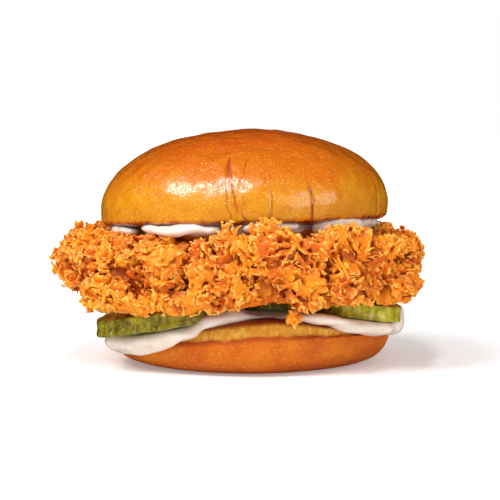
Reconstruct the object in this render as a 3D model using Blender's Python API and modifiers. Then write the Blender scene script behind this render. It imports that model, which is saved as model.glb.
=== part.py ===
"""A fried chicken burger, built layer by layer: heel bun, sauce, pickles, fillet, sauce, crown bun.

Metres, +Z up. The heel rests on z = 0, +X is the long way of the fillet and the front faces -Y.
Every layer is one closed solid: a profile turned by a Screw modifier, whose points are then moved
to the layer's own outline and between the surfaces above and below it, so that the layers follow
one another with a small gap.
"""

import math
from collections import namedtuple

import bpy
from mathutils import Vector, noise

# ---------------------------------------------------------------- driving dimensions (metres)
MILLIMETRE = 0.001
GAP = 0.0003                     # left between two layers that touch

HEEL_CENTRE_X = 0.0047
HEEL_RADIUS = 0.0532
HEEL_TOP = 0.0206                # toasted face of the heel, at its middle
HEEL_NOSE = 0.0096               # height of the widest level, mean of all sides
HEEL_NOSE_LEAN = 0.0034          # the right side is higher by this, the left side lower
HEEL_BASE_SHARE = 0.74           # flat underside, as a share of the radius
HEEL_RIM_LEVEL = 0.48            # where the crust ends on the way from nose to toasted face
HEEL_LEFT_SAG = 0.0105           # the heel is squashed on the left, under its pickle
HEEL_LEFT_SLOPE = (-0.012, 0.060)     # that sag grows over this range of -X
HEEL_RIGHT_SAG = 0.0060
HEEL_RIGHT_SLOPE = (0.012, 0.056)     # and this one over this range of +X

CROWN_CENTRE = Vector((0.0012, 0.0010))
CROWN_RADIUS = 0.0552
CROWN_FACE = 0.0540              # height of the cut face at its middle
CROWN_SIDE = 0.0066              # from the cut face up to the widest level
CROWN_DOME = 0.0292              # from the widest level up to the apex
CROWN_ROLL = 0.026               # slope of the cut face, right side up
CROWN_PITCH = -0.045             # slope of the cut face, front side up
CROWN_LEAN = 0.0022              # the apex stands this far to the right
CROWN_LEVELLING = 0.55           # share of the face's tilt that the dome loses towards its apex
CROWN_DOME_POWER = 1.95          # superellipse powers of the dome and of the skirt below it
CROWN_SKIRT_POWER = 3.6

FILLET_HALVES = (0.0730, 0.0585)      # half length and half depth
FILLET_BELLY = 0.0236            # underside between the pickles
FILLET_TOP = 0.0525              # brow of the crust outside the crown
FILLET_FRONT_RISE = 0.0035       # the brow stands this much higher at the front right
FILLET_LEVEL_SHARE = 0.74        # share of the radius before its edge starts to round over
FILLET_EDGE_POWER = 2.8          # superellipse power of that edge, so that its sides stand steep
FILLET_LUMP = 0.0040             # height of the crust's lumps
FILLET_LUMP_SIZE = 0.0105
FILLET_LEFT_UPTURN = 0.0120      # the underside rises towards the left tip
FILLET_RIGHT_UPTURN = 0.0030

SAUCE_ABOVE = 0.0024             # sauce between fillet and crown
SAUCE_BELOW = 0.0016             # sauce on the heel
SAUCE_HUMP = Vector((0.0020, -0.0400, 0.0016))    # a blob squeezed up between the pickles
SAUCE_HUMP_SPREAD = 0.0060
SAUCE_LEVEL_SHARE = 0.90
SAUCE_EDGE_POWER = 2.6

Pickle = namedtuple("Pickle", "name centre halves underside slope thickness")
PICKLES = (
    Pickle("pickle_left", Vector((-0.0294, -0.0275)), (0.0250, 0.0225), 0.0163, 0.160, 0.0067),
    Pickle("pickle_middle", Vector((0.0120, -0.0225)), (0.0160, 0.0160), 0.0226, 0.000, 0.0045),
    Pickle("pickle_right", Vector((0.0452, -0.0205)), (0.0165, 0.0165), 0.0188, -0.105, 0.0061),
)
PICKLE_ARCH = 0.0008             # a slice bends over what it lies on
PICKLE_CLEAR = 0.0040            # layers keep level this far beyond a pickle's skin
PICKLE_FADE = 0.0070             # and fall back to their own height over this distance

BUN_COLUMNS = 48                 # facets round Z, and level rings inside a rounded edge
FILLET_COLUMNS = 72
FILLET_RINGS = 5
SAUCE_COLUMNS = 44
SAUCE_RINGS = 5
PICKLE_COLUMNS = 28


# ---------------------------------------------------------------- small helpers
def ramp(value, start, end):
    """A smooth step from 0 at start to 1 at end."""
    t = min(max((value - start) / (end - start), 0.0), 1.0)
    return t * t * (3.0 - 2.0 * t)


def bump(angle, middle, half_width):
    """1 at the middle angle, fading to 0 half_width degrees away."""
    away = abs((math.degrees(angle) - middle + 180.0) % 360.0 - 180.0)
    return 1.0 - ramp(away, 0.0, half_width)


def lumps(x, y, z, size, seed):
    """Smooth unevenness between about -1 and 1, with features of the given size."""
    return noise.noise(Vector((x / size + seed, y / size - seed, z / size + 2.0 * seed))) * 1.6


def between(low, high, level):
    """A height from low at level -1 to high at level 1."""
    return low + (high - low) * (level + 1.0) / 2.0


# ---------------------------------------------------------------- profiles of (radius, level)
def rounded_edge(rows, power):
    """A superellipse quarter, from the middle of a face (0, 1) out to the edge (1, 0)."""
    quarter = [math.radians(90.0 * row / rows) for row in range(rows)]
    return [(math.sin(a) ** (2.0 / power), math.cos(a) ** (2.0 / power)) for a in quarter] + [(1.0, 0.0)]


def slab(rings, level_share, edge_rows, power):
    """Level rings out to a share of the radius, then a rounded edge."""
    level = [(level_share * ring / rings, 1.0) for ring in range(rings)]
    edge = [(level_share + (1.0 - level_share) * radius, height)
            for radius, height in rounded_edge(edge_rows, power)]
    return level + edge


def mirrored(upper):
    """A profile whose lower half repeats its upper half."""
    return upper + [(radius, -level) for radius, level in reversed(upper[:-1])]


# Share of the radius, and share of the way from the nose up to the toasted face: level rings,
# the crumb's shoulder, the crust's rim standing out below it, and the crust down to the nose.
HEEL_SHOULDER = (
    (0.0, 1.0), (0.22, 1.0), (0.42, 1.0), (0.60, 1.0), (0.76, 1.0),
    (0.87, 0.99), (0.935, 0.93), (0.962, 0.78), (0.968, 0.56),
    (0.988, HEEL_RIM_LEVEL), (0.999, 0.24), (1.0, 0.0),
)


# ---------------------------------------------------------------- surfaces the layers share
def heel_outline(angle):
    return HEEL_RADIUS * (0.988 + 0.012 * math.cos(4.0 * angle) + 0.010 * math.cos(3.0 * angle + 0.7))


def heel_nose(angle):
    return HEEL_NOSE + HEEL_NOSE_LEAN * math.cos(angle)


def heel_face(x):
    """The toasted face: level in the middle, sagging to both sides."""
    return HEEL_TOP - HEEL_LEFT_SAG * ramp(-x, *HEEL_LEFT_SLOPE) - HEEL_RIGHT_SAG * ramp(x, *HEEL_RIGHT_SLOPE)


def heel_cover(x, y):
    """A height clear of the heel at x, y; past its edge it carries on down the side."""
    clear_share = 0.032
    side_fall = 6.0
    angle = math.atan2(y, x - HEEL_CENTRE_X)
    share = max(math.hypot(x - HEEL_CENTRE_X, y) / heel_outline(angle) - clear_share, 0.0)
    level = side_fall * min(1.0 - share, 0.0)
    for (inner, high), (outer, low) in zip(HEEL_SHOULDER, HEEL_SHOULDER[1:]):
        if inner <= share <= outer:
            level = high + (low - high) * (share - inner) / (outer - inner)
    nose = heel_nose(angle)
    return nose + level * (heel_face(x) - nose) + 1.5 * GAP


def crown_face(x, y):
    """The cut face of the crown, a tilted plane."""
    return CROWN_FACE + CROWN_ROLL * (x - CROWN_CENTRE.x) + CROWN_PITCH * (y - CROWN_CENTRE.y)


def pickle_underside(pickle, x):
    along = (x - pickle.centre.x) / pickle.halves[0]
    return pickle.underside + pickle.slope * (x - pickle.centre.x) + PICKLE_ARCH * (1.0 - along ** 2)


def pickle_reach(pickle, x, y):
    """1 over a pickle and its clear border, fading to 0 beyond them."""
    along = (x - pickle.centre.x) / pickle.halves[0]
    across = (y - pickle.centre.y) / pickle.halves[1]
    outside = (math.hypot(along, across) - 1.0) * min(pickle.halves)
    return 1.0 - ramp(outside, PICKLE_CLEAR, PICKLE_CLEAR + PICKLE_FADE)


def fillet_underside(x, y):
    """The fillet lies on the highest pickle at x, y and hangs down to its belly between them."""
    height = FILLET_BELLY
    for pickle in PICKLES:
        resting = pickle_underside(pickle, x) + pickle.thickness + 2.0 * GAP
        height = max(height, FILLET_BELLY + (resting - FILLET_BELLY) * pickle_reach(pickle, x, y))
    return height


def fillet_outline(angle):
    half_x, half_y = FILLET_HALVES
    plain = half_x * half_y / math.hypot(half_y * math.cos(angle), half_x * math.sin(angle))
    front = 0.07 * bump(angle, 318.0, 46.0) + 0.04 * bump(angle, 222.0, 40.0)
    back = 0.04 * bump(angle, 50.0, 40.0) - 0.03 * bump(angle, 128.0, 34.0)
    return plain * (1.0 + front + back)


def fillet_brow(x, y):
    """The top of the fillet: pressed flat under the crown, standing proud around it."""
    pressed = crown_face(x, y) - SAUCE_ABOVE - 2.0 * GAP
    front = FILLET_FRONT_RISE * ramp(-y, 0.045, 0.058) * ramp(x, -0.020, 0.020)
    proud = FILLET_TOP + front + FILLET_LUMP / 2.0 * lumps(x, y, 0.0, FILLET_LUMP_SIZE, 3.0)
    crown_share = math.hypot(x - CROWN_CENTRE.x, y - CROWN_CENTRE.y) / CROWN_RADIUS
    return pressed + (proud - pressed) * ramp(crown_share, 0.95, 1.10)


# ---------------------------------------------------------------- making solids
def material(name, colour, roughness):
    made = bpy.data.materials.new(name)
    made.use_nodes = True
    shader = made.node_tree.nodes["Principled BSDF"]
    shader.inputs["Base Color"].default_value = (*colour, 1.0)
    shader.inputs["Roughness"].default_value = roughness
    shader.inputs["Metallic"].default_value = 0.0
    return made


def turned(name, profile, columns, finish, place):
    """Turn a unit profile round Z, then move each point to place(angle, radius, level)."""
    line = bpy.data.meshes.new(name)
    edges = [(i, i + 1) for i in range(len(profile) - 1)]
    line.from_pydata([(radius, 0.0, level) for radius, level in profile], edges, [])
    lathe = bpy.data.objects.new(name + "_profile", line)
    layers.objects.link(lathe)
    screw = lathe.modifiers.new("Screw", "SCREW")
    screw.steps = columns
    screw.render_steps = columns
    screw.use_merge_vertices = True
    screw.merge_threshold = 0.0001
    spun = bpy.data.meshes.new_from_object(lathe.evaluated_get(bpy.context.evaluated_depsgraph_get()))
    bpy.data.objects.remove(lathe)
    bpy.data.meshes.remove(line)

    spun.name = name
    for vertex in spun.vertices:
        x, y, level = vertex.co
        vertex.co = place(math.atan2(y, x), math.hypot(x, y), level)
    spun.materials.append(finish)
    spun.shade_smooth()
    solid = bpy.data.objects.new(name, spun)
    layers.objects.link(solid)
    return solid


def reach_equally(solid, halves):
    """Stretch a solid's ends a little, so that it reaches as far to either side of the origin."""
    for axis, half in enumerate(halves):
        values = [vertex.co[axis] for vertex in solid.data.vertices]
        low, high = min(values), max(values)
        for vertex in solid.data.vertices:
            share = (vertex.co[axis] - low) / (high - low)
            target = half * (2.0 * share - 1.0)
            vertex.co[axis] += (target - vertex.co[axis]) * abs(2.0 * share - 1.0) ** 3


# ---------------------------------------------------------------- the layers
def make_heel():
    curl_rows = 5
    base_ring = 0.4
    quarter = [math.radians(90.0 * row / curl_rows) for row in range(1, curl_rows + 1)]
    curl = [(HEEL_BASE_SHARE + (1.0 - HEEL_BASE_SHARE) * math.cos(a), -math.sin(a)) for a in quarter]
    profile = list(HEEL_SHOULDER) + curl + [(base_ring, -1.0), (0.0, -1.0)]

    def place(angle, radius, level):
        reach = radius * heel_outline(angle)
        x = HEEL_CENTRE_X + reach * math.cos(angle)
        y = reach * math.sin(angle)
        nose = heel_nose(angle)
        rise = heel_face(x) - nose if level > 0.0 else nose
        return Vector((x, y, nose + level * rise))

    turned("bun_bottom", profile, BUN_COLUMNS, crust_finish, place)


def make_crown():
    dome = rounded_edge(11, CROWN_DOME_POWER)
    skirt = [(radius, -level) for radius, level in reversed(rounded_edge(5, CROWN_SKIRT_POWER)[:-1])]

    def place(angle, radius, level):
        reach = CROWN_RADIUS * radius
        reach *= 1.0 + 0.008 * math.cos(2.0 * angle + 0.4) + 0.006 * math.cos(5.0 * angle)
        x = CROWN_CENTRE.x + reach * math.cos(angle)
        y = CROWN_CENTRE.y + reach * math.sin(angle)
        face = crown_face(x, y)
        if level <= 0.0:
            return Vector((x, y, face + CROWN_SIDE * (1.0 + level)))
        tilt = (face - CROWN_FACE) * (1.0 - CROWN_LEVELLING * level)
        height = CROWN_FACE + tilt + CROWN_SIDE + CROWN_DOME * level
        return Vector((x + CROWN_LEAN * level ** 2, y, height))

    turned("bun_top", dome + skirt, BUN_COLUMNS, glazed_finish, place)


def make_fillet():
    def place(angle, radius, level):
        reach = radius * fillet_outline(angle)
        x = reach * math.cos(angle)
        y = reach * math.sin(angle)
        upturn = FILLET_LEFT_UPTURN * ramp(-x, 0.048, 0.074) + FILLET_RIGHT_UPTURN * ramp(x, 0.060, 0.074)
        height = between(fillet_underside(x, y) + upturn, fillet_brow(x, y), level)
        lump = FILLET_LUMP * ramp(radius, 0.90, 1.0) * lumps(x, y, height, FILLET_LUMP_SIZE, 0.0)
        return Vector((x + lump * math.cos(angle), y + lump * math.sin(angle), height))

    profile = mirrored(slab(FILLET_RINGS, FILLET_LEVEL_SHARE, 6, FILLET_EDGE_POWER))
    fillet = turned("chicken_fillet", profile, FILLET_COLUMNS, fried_finish, place)
    reach_equally(fillet, FILLET_HALVES)


def make_pickle(pickle):
    profile = mirrored([(0.0, 1.0), (0.55, 1.0), (0.95, 1.0), (0.995, 0.78), (1.0, 0.0)])

    def place(angle, radius, level):
        reach = radius * (0.985 - 0.015 * math.cos(5.0 * angle + pickle.underside / MILLIMETRE))
        x = pickle.centre.x + pickle.halves[0] * reach * math.cos(angle)
        y = pickle.centre.y + pickle.halves[1] * reach * math.sin(angle)
        low = pickle_underside(pickle, x)
        return Vector((x, y, between(low, low + pickle.thickness, level)))

    turned(pickle.name, profile, PICKLE_COLUMNS, pickle_finish, place)


def lower_sauce_outline(angle):
    """The sauce stays inside the heel's rim, but for a drape at the left and one at the right."""
    widest = 1.075
    drapes = 0.30 * bump(angle, 203.0, 62.0) + 0.24 * bump(angle, 335.0, 40.0)
    wobble = 0.03 * math.cos(3.0 * angle) + 0.02 * math.cos(7.0 * angle + 1.0)
    return heel_outline(angle) * min(0.85 + drapes + wobble, widest)


def make_lower_sauce():
    def place(angle, radius, level):
        reach = radius * lower_sauce_outline(angle)
        x = HEEL_CENTRE_X + reach * math.cos(angle)
        y = reach * math.sin(angle)
        low = heel_cover(x, y)
        from_hump = math.hypot(x - SAUCE_HUMP.x, y - SAUCE_HUMP.y) / SAUCE_HUMP_SPREAD
        high = low + SAUCE_BELOW + SAUCE_HUMP.z * math.exp(-from_hump ** 2)
        for pickle in PICKLES:
            pressed = min(high, pickle_underside(pickle, x) - GAP)
            high += (pressed - high) * pickle_reach(pickle, x, y)
        high = min(high, fillet_underside(x, y) - GAP)
        return Vector((x, y, between(low, high, level)))

    profile = mirrored(slab(SAUCE_RINGS, SAUCE_LEVEL_SHARE, 2, SAUCE_EDGE_POWER))
    turned("mayo_bottom", profile, SAUCE_COLUMNS, sauce_finish, place)


def make_upper_sauce():
    def place(angle, radius, level):
        reach = CROWN_RADIUS * radius
        reach *= 0.92 + 0.03 * math.cos(3.0 * angle + 0.5) + 0.025 * math.cos(8.0 * angle)
        x = CROWN_CENTRE.x + reach * math.cos(angle)
        y = CROWN_CENTRE.y + reach * math.sin(angle)
        high = crown_face(x, y) - GAP
        return Vector((x, y, between(high - SAUCE_ABOVE, high, level)))

    profile = mirrored(slab(SAUCE_RINGS, SAUCE_LEVEL_SHARE, 2, SAUCE_EDGE_POWER))
    turned("mayo_top", profile, SAUCE_COLUMNS, sauce_finish, place)


# ---------------------------------------------------------------- build
for existing in list(bpy.data.objects):
    bpy.data.objects.remove(existing, do_unlink=True)

layers = bpy.data.collections.new("chicken_burger")
bpy.context.scene.collection.children.link(layers)

crust_finish = material("heel_crust", (0.60, 0.25, 0.05), 0.55)
glazed_finish = material("crown_crust", (0.66, 0.24, 0.03), 0.28)
fried_finish = material("fried_crust", (0.72, 0.23, 0.03), 0.50)
pickle_finish = material("pickle", (0.22, 0.24, 0.03), 0.25)
sauce_finish = material("mayonnaise", (0.86, 0.80, 0.70), 0.22)

make_heel()
make_lower_sauce()
for slice_of_pickle in PICKLES:
    make_pickle(slice_of_pickle)
make_fillet()
make_upper_sauce()
make_crown()
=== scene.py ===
"""The looks of the chicken burger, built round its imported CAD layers. Metres, +Z up, front faces -Y."""

import math

import bpy
import numpy as np
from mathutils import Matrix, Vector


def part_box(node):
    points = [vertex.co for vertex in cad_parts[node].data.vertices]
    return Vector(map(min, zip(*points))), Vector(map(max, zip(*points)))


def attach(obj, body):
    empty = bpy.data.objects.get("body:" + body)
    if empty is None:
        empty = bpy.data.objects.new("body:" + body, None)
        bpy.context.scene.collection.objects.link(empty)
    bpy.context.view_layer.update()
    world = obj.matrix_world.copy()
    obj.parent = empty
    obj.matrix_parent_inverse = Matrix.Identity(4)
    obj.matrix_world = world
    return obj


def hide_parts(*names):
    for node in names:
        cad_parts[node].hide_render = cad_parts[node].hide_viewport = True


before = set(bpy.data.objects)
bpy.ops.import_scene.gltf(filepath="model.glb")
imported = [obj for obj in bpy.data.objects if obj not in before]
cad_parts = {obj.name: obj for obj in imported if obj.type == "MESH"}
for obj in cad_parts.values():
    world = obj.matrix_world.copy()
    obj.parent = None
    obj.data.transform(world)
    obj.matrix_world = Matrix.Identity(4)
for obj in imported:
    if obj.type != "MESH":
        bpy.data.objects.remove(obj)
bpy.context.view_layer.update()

import openvdb
from mathutils import Vector

MM = 0.001
WELD = 0.001 * MM  # CAD corners this close are one point

# ---- layout, taken from the CAD
CROWN_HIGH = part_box("bun_top")[1]
FILLET_LOW, FILLET_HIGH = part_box("chicken_fillet")
HEEL_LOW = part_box("bun_bottom")[0]

CROWN_X, CROWN_Y = 1.2 * MM, 1.0 * MM  # the crown's axis
CROWN_RADIUS = 55.2 * MM
CROWN_FACE = 54.0 * MM  # height of the cut face at the axis
CROWN_SIDE = 6.6 * MM  # from the cut face up to the widest level
CROWN_DOME = 29.2 * MM  # from the widest level up to the apex
CROWN_ROLL, CROWN_PITCH = 0.026, -0.045  # slopes of the cut face along X and Y
CROWN_LEVELLING = 0.55  # share of those slopes that the dome loses by its apex
CROWN_LEAN = 2.2 * MM  # the apex stands this far to the right
CROWN_DOME_POWER, CROWN_SKIRT_POWER = 1.95, 5.0
HEM_DROOP = 2.0 * MM  # the crust's lower edge hangs this far below the cut face

HEEL_X = 4.7 * MM
HEEL_RADIUS = 53.2 * MM
HEEL_TOP = 20.6 * MM  # the cut face at its highest
HEEL_NOSE, HEEL_NOSE_LEAN = 9.6 * MM, 3.4 * MM  # height of the widest level, and its rise to the right
HEEL_LEFT_SAG, HEEL_RIGHT_SAG = 10.5 * MM, 6.0 * MM


# ---- numbers: ramps and noise
def mm(*values):
    """A vector given in millimetres."""
    return np.array(values) * MM


def ramp(value, start, end):
    """0 up to start, 1 from end, smooth between them; end may be the lower one."""
    t = np.clip((value - start) / (end - start), 0.0, 1.0)
    return t * t * (3.0 - 2.0 * t)


SHUFFLE = np.random.default_rng(11).permutation(256).astype(np.int32)
SPREAD = np.random.default_rng(12).normal(size=(256, 3))
DIRECTIONS = (SPREAD / np.linalg.norm(SPREAD, axis=1)[:, None]).astype(np.float32)


def noise(points, size, seed=0):
    """Gradient noise, about -1 to 1, with features of the given size."""
    p = np.asarray(points, np.float32) / np.float32(size) + np.float32(17.3 * seed)
    cell = np.floor(p).astype(np.int32)
    f = p - cell
    u = f * f * f * (f * (f * 6.0 - 15.0) + 10.0)
    total = np.zeros(len(p), np.float32)
    for i in (0, 1):
        wx = u[:, 0] if i else 1.0 - u[:, 0]
        hx = SHUFFLE[(cell[:, 0] + i) & 255]
        for j in (0, 1):
            wy = u[:, 1] if j else 1.0 - u[:, 1]
            hy = SHUFFLE[(hx + cell[:, 1] + j) & 255]
            for k in (0, 1):
                wz = u[:, 2] if k else 1.0 - u[:, 2]
                g = DIRECTIONS[SHUFFLE[(hy + cell[:, 2] + k) & 255]]
                dot = g[:, 0] * (f[:, 0] - i) + g[:, 1] * (f[:, 1] - j) + g[:, 2] * (f[:, 2] - k)
                total += wx * wy * wz * dot
    return total * 1.7


def noise_vectors(points, size, *seeds):
    """Three noises side by side, to push points about with."""
    return np.stack([noise(points, size, seed) for seed in seeds], -1)


def bumps(points, *waves):
    """Noises added up; each is given as height and size in mm, and a seed."""
    return sum(height * MM * noise(points, size * MM, seed) for height, size, seed in waves)


# ---- volumes
class Volume:
    """A signed distance field on a box of cells, negative inside."""

    def __init__(self, low, high, cell):
        self.low = np.array(low, float)
        self.cell = cell
        self.shape = tuple(int(math.ceil((b - a) / cell)) + 1 for a, b in zip(low, high))
        self.field = np.full(self.shape, 1.0, np.float32)

    def points(self, mask=True):
        """The places of all cells, or of those in a mask."""
        index = np.argwhere(np.broadcast_to(mask, self.shape)).astype(np.float32)
        return index * np.float32(self.cell) + self.low.astype(np.float32)

    def block(self, centre, reach):
        """Slices of the cells within reach of a centre, and their points."""
        centre = np.array(centre)
        start = np.maximum(np.floor((centre - reach - self.low) / self.cell), 0).astype(int)
        stop = np.minimum(np.ceil((centre + reach - self.low) / self.cell) + 1, self.shape).astype(int)
        if (stop <= start).any():
            return None, None
        axes = [np.arange(a, b, dtype=np.float32) * self.cell + o for a, b, o in zip(start, stop, self.low)]
        grid = np.stack(np.meshgrid(*axes, indexing="ij"), -1)
        return tuple(slice(a, b) for a, b in zip(start, stop)), grid

    def sample(self, field, points):
        """Trilinear reading of a field at points."""
        p = (points - self.low) / self.cell
        p = np.clip(p, 0.0, np.array(self.shape) - 1.001)
        i = p.astype(int)
        f = (p - i).astype(np.float32)
        total = np.zeros(len(p), np.float32)
        for dx in (0, 1):
            wx = f[:, 0] if dx else 1.0 - f[:, 0]
            for dy in (0, 1):
                wy = f[:, 1] if dy else 1.0 - f[:, 1]
                for dz in (0, 1):
                    wz = f[:, 2] if dz else 1.0 - f[:, 2]
                    total += wx * wy * wz * field[i[:, 0] + dx, i[:, 1] + dy, i[:, 2] + dz]
        return total

    def surface(self):
        """The zero surface as points and faces."""
        grid = openvdb.FloatGrid(float(self.field.max()))
        grid.copyFromArray(self.field)
        points, triangles, quads = grid.convertToPolygons(0.0, 0.0)
        faces = [tuple(q) for q in quads.tolist()] + [tuple(t) for t in triangles.tolist()]
        return points * self.cell + self.low, faces


def blurred(field, reach, rounds=1):
    """A box blur over reach cells each way, done once or more."""
    out = field
    width = 2 * reach + 1
    for axis in (0, 1, 2) * rounds:
        pad = [(0, 0)] * 3
        pad[axis] = (reach + 1, reach)
        total = np.cumsum(np.pad(out, pad, mode="edge"), axis=axis, dtype=np.float64)
        size = out.shape[axis]
        upper = np.take(total, np.arange(width, width + size), axis=axis)
        lower = np.take(total, np.arange(0, size), axis=axis)
        out = ((upper - lower) / width).astype(np.float32)
    return out


def solid_field(volume, node, reach):
    """The distance field of a CAD node's closed mesh, on a volume's cells."""
    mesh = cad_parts[node].data
    mesh.calc_loop_triangles()
    points = np.array([v.co for v in mesh.vertices], np.float32)
    triangles = np.array([t.vertices for t in mesh.loop_triangles], np.uint32)
    _, first, back = np.unique(np.round(points / WELD), axis=0, return_index=True, return_inverse=True)
    points = points[first]
    triangles = back.reshape(-1)[triangles].astype(np.uint32)
    local = ((points - volume.low) / volume.cell).astype(np.float32)
    grid = openvdb.FloatGrid.createLevelSetFromPolygons(
        local, triangles=triangles, halfWidth=float(reach / volume.cell))
    out = np.empty(volume.shape, np.float32)
    grid.copyToArray(out)
    return out * volume.cell


def joined(a, b, blend):
    """Smooth union of two distance fields."""
    h = np.clip(0.5 + 0.5 * (b - a) / blend, 0.0, 1.0)
    return b + (a - b) * h - blend * h * (1.0 - h)


def within_both(a, b):
    """The field of what two fields share, as a slab's edge and its faces."""
    return np.hypot(np.maximum(a, 0.0), np.maximum(b, 0.0)) + np.minimum(np.maximum(a, b), 0.0)


def filled(volume):
    """How full each cell of a volume is, from 0 to 1."""
    return np.clip(0.5 - volume.field / volume.cell, 0.0, 1.0)


# ---- meshes
def largest_part(points, faces):
    """Keep the surface's largest connected part."""
    edges = np.array([(f[i], f[(i + 1) % len(f)]) for f in faces for i in range(len(f))], np.int64)
    label = np.arange(len(points))
    while True:
        low = np.minimum(label[edges[:, 0]], label[edges[:, 1]])
        new = label.copy()
        np.minimum.at(new, edges[:, 0], low)
        np.minimum.at(new, edges[:, 1], low)
        new = new[new]
        if (new == label).all():
            break
        label = new
    kept = label == np.bincount(label).argmax()
    renumber = np.cumsum(kept) - 1
    faces = [tuple(int(renumber[i]) for i in f) for f in faces if kept[f[0]]]
    return points[kept], faces


def add_object(name, data):
    obj = bpy.data.objects.new(name, data)
    bpy.context.scene.collection.objects.link(obj)
    return obj


def new_object(name, points, faces):
    """A smooth-shaded mesh object in the scene."""
    mesh = bpy.data.meshes.new(name)
    mesh.from_pydata(np.asarray(points, float).tolist(), [], faces)
    mesh.update()
    mesh.shade_smooth()
    return add_object(name, mesh)


def surface_object(name, volume):
    """A field's surface as an object, without loose bits."""
    return new_object(name, *largest_part(*volume.surface()))


def add_value(obj, name, values):
    """A number for each vertex, which a material reads by name."""
    layer = obj.data.attributes.new(name, "FLOAT", "POINT")
    layer.data.foreach_set("value", np.asarray(values, np.float32))


def vertex_points(obj):
    co = np.empty(len(obj.data.vertices) * 3, np.float32)
    obj.data.vertices.foreach_get("co", co)
    return co.reshape(-1, 3)


def smooth_surface(obj, rounds):
    modifier = obj.modifiers.new("Smooth", "SMOOTH")
    modifier.iterations = rounds
    modifier.factor = 0.5
    apply_modifiers(obj)


def thin_out(obj, most):
    """Collapse a mesh to at most so many triangles."""
    count = sum(len(p.vertices) - 2 for p in obj.data.polygons)
    if count <= most:
        return
    modifier = obj.modifiers.new("Decimate", "DECIMATE")
    modifier.ratio = most / count
    apply_modifiers(obj)


def apply_modifiers(obj):
    """Put the modified mesh in place of the object's own."""
    evaluated = obj.evaluated_get(bpy.context.evaluated_depsgraph_get())
    mesh = bpy.data.meshes.new_from_object(evaluated)
    old = obj.data
    obj.modifiers.clear()
    obj.data = mesh
    bpy.data.meshes.remove(old)
    obj.data.shade_smooth()


# ---- fried crust
def unit(v):
    """Vectors made one long."""
    return v / np.linalg.norm(v, axis=-1, keepdims=True)


def terraces(points, size, steps, seed):
    """Slow rises that end in sudden drops, 0 to 1, like flakes that lie over each other."""
    t = noise(points, size, seed) * steps
    t = t - np.floor(t)
    return np.where(t < 0.84, t / 0.84, (1.0 - t) / 0.16)


def stamp_flake(volume, root, out, along, size, thick, curl, ruffle, rng):
    """Join a curled, ruffled flake to a field: it stands on root and bends away from out."""
    side = unit(np.cross(out, along))
    face = unit(np.cross(side, along))
    where, grid = volume.block(root + along * size * 0.5, size * 1.5)
    if where is None:
        return
    q = grid - root
    u, v, w = q @ along, q @ side, q @ face
    middle = 0.40 * size
    around = np.arctan2(v, u - middle)
    phases = rng.uniform(0.0, 6.28, 4)
    outline = sum(depth * np.sin(lobes * around + phase)
                  for depth, lobes, phase in zip((0.16, 0.12, 0.10), (3.0, 5.0, 9.0), phases))
    radial = np.hypot(u - middle, v) - 0.78 * size * (1.0 + outline)
    wave = ruffle * np.sin(v / size * 5.5 + phases[3]) * np.clip(u / size, 0.0, 1.2)
    bend = curl * np.clip(u, 0.0, None) ** 2 / size + wave
    flat = np.abs(w - bend) - 0.5 * thick
    flake = within_both(radial, flat) - 0.15 * thick
    volume.field[where] = joined(volume.field[where], flake.astype(np.float32), 0.6 * MM)


def stamp_lump(volume, centre, halves, blend, turn=0.0):
    """Join an ellipsoid to a field, turned about Z."""
    where, grid = volume.block(centre, max(halves) + 2.0 * blend)
    if where is None:
        return
    x, y, z = np.moveaxis(grid - centre, -1, 0)
    c, s = math.cos(turn), math.sin(turn)
    turned = np.stack([x * c + y * s, y * c - x * s, z], -1)
    lump = (np.linalg.norm(turned / halves, axis=-1) - 1.0) * min(halves)
    volume.field[where] = joined(volume.field[where], lump.astype(np.float32), blend)


def carve_ball(volume, centre, radius, blend):
    """Cut a ball out of a field."""
    where, grid = volume.block(centre, radius + 2.0 * blend)
    if where is None:
        return
    ball = np.linalg.norm(grid - centre, axis=-1) - radius
    volume.field[where] = -joined(-volume.field[where], ball.astype(np.float32), blend)


def slopes(volume, field, points):
    """Outward directions of a field at points."""
    g = np.stack([volume.sample(field, points + step) - volume.sample(field, points - step)
                  for step in volume.cell * np.eye(3)], -1)
    return g / np.maximum(np.linalg.norm(g, axis=1), 1e-9)[:, None]


def crust_freedom(points):
    """How far the crust may stand out: 0 where the fillet is pressed by the layers, 1 at its sides."""
    x, y, z = points.T
    under_crown = np.hypot(x - CROWN_X, y - CROWN_Y) / CROWN_RADIUS
    over_heel = np.hypot(x - HEEL_X, y) / HEEL_RADIUS
    upper = ramp(under_crown, 0.84, 0.97)
    lower = ramp(over_heel, 0.84, 1.02)
    height = ramp(z, 30.0 * MM, 44.0 * MM)
    return lower * (1.0 - height) + upper * height


CRUST_MARGIN = 5.0 * MM  # room round the fillet's box
CRUST_TOP = 49.3 * MM  # the flakes rise a little above it
CRUST_REACH = 2.0 * MM  # how far flakes may stand beyond the broad shape
# the plane that cuts the left shoulder: a point on it, and the way out of it, along X and Z
LEFT_SLOPE_X, LEFT_SLOPE_Z = -61.0 * MM, 49.5 * MM
LEFT_SLOPE_OUT_X, LEFT_SLOPE_OUT_Z = -0.70, 0.71

# number, least and most radius (mm)
HOLLOWS = ((30, 3.6, 5.6), (190, 1.4, 3.2))
# number, least and most size (mm), steepest angle from the surface
THICK_FLAKES = ((95, 7.0, 11.0, 16.0), (190, 4.2, 7.0, 28.0), (320, 2.2, 4.2, 36.0))

# the hollow below the front, where the middle pickle shows
BELLY_MIDDLE, BELLY_HALVES = mm(12.0, -42.0, 19.5), mm(13.0, 24.0, 8.0)

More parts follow.
